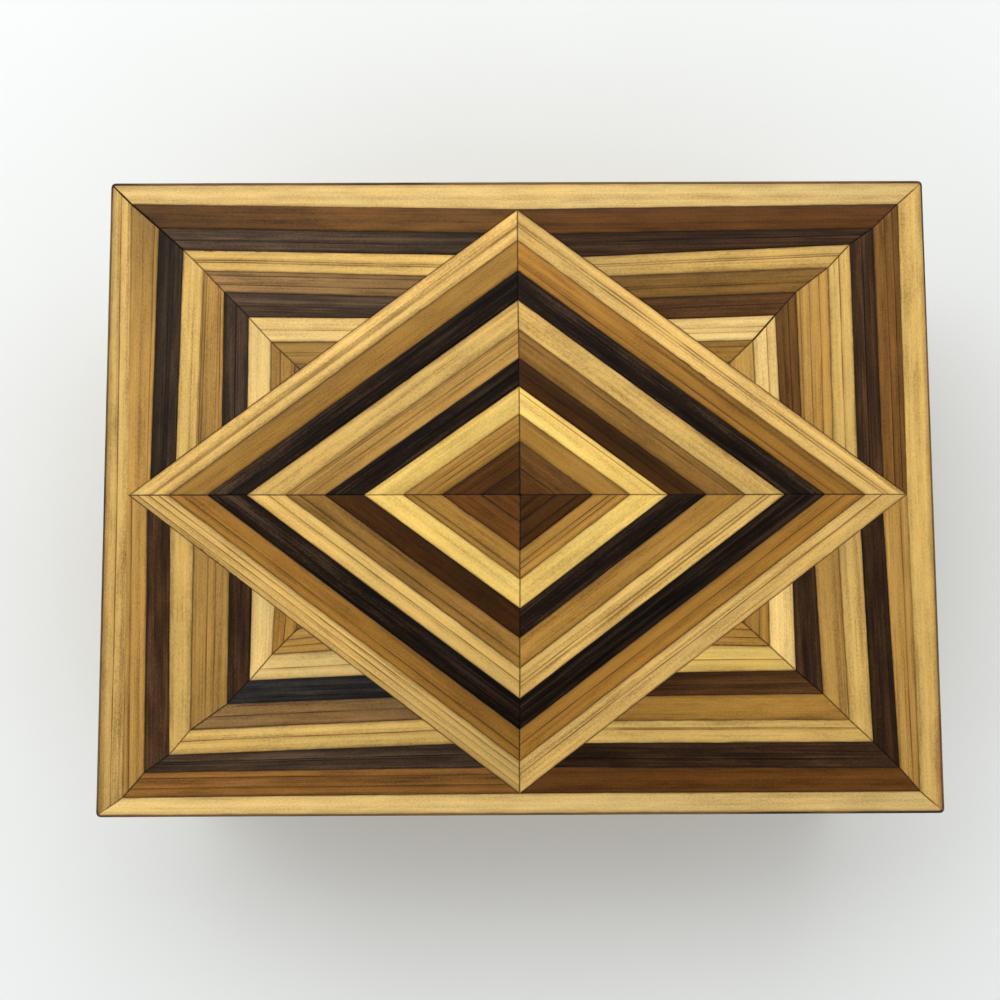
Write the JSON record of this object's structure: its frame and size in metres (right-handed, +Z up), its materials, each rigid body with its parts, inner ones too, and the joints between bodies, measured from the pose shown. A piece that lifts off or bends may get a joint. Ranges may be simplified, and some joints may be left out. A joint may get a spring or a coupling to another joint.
{
  "type": "inlaid trinket box",
  "caption": "Rectangular hinged wooden box whose flat lid is laid with mitred wood strips as a diamond on nested frames, with matching strips on its sides and a felt lining.",
  "frame": {"origin": "on the surface that the box stands on, under the middle of its outline", "axes": "+X to the right along the front, +Y to the back, where the hinges are, and +Z up"},
  "size_m": [0.176, 0.135, 0.0615],
  "materials": {
    "light_wood": "satin",
    "tan_wood": "satin",
    "brown_wood": "satin",
    "dark_wood": "satin",
    "black_wood": "satin",
    "board_wood": "satin",
    "brass": "satin",
    "felt": "matte"
  },
  "bodies": {
    "box": {"base_board": "board_wood", "base_edge_banding": "dark_wood", "base_lining": "felt", "front_wall": "board_wood", "back_wall": "board_wood", "left_wall": "board_wood", "right_wall": "board_wood", "side_border": "light_wood", "side_ring_2": "tan_wood", "side_ring_3": "dark_wood", "side_ring_4": "light_wood", "side_core": "tan_wood", "lower_leaf_left": "brass", "lower_leaf_right": "brass", "hinge_pin_left": "brass", "hinge_pin_right": "brass", "lower_leaf_screws": "brass"},
    "lid": {"lid_board": "board_wood", "lid_edge_banding": "dark_wood", "lid_lining": "felt", "lid_border": "light_wood", "field_ring_2": "brown_wood", "field_ring_3": "dark_wood", "field_ring_4": "light_wood", "field_ring_5": "tan_wood", "field_ring_6": "dark_wood", "field_ring_7": "light_wood", "field_ring_8": "tan_wood", "field_ring_9": "tan_wood", "diamond_ring_1": "light_wood", "diamond_ring_2": "tan_wood", "diamond_ring_3": "black_wood", "diamond_ring_4": "light_wood", "diamond_ring_5": "tan_wood", "diamond_ring_6": "black_wood", "diamond_ring_7": "light_wood", "diamond_ring_8": "tan_wood", "diamond_ring_9": "brown_wood", "diamond_ring_10": "brown_wood", "upper_leaf_left": "brass", "upper_leaf_right": "brass", "upper_leaf_screws": "brass"}
  },
  "joints": [
    {"name": "lid_hinge", "type": "hinge", "parent": "box", "child": "lid", "pos_m": [0, 0.0643, 0.052], "axis": [-1, 0, 0], "range_deg": [0, 110]}
  ]
}
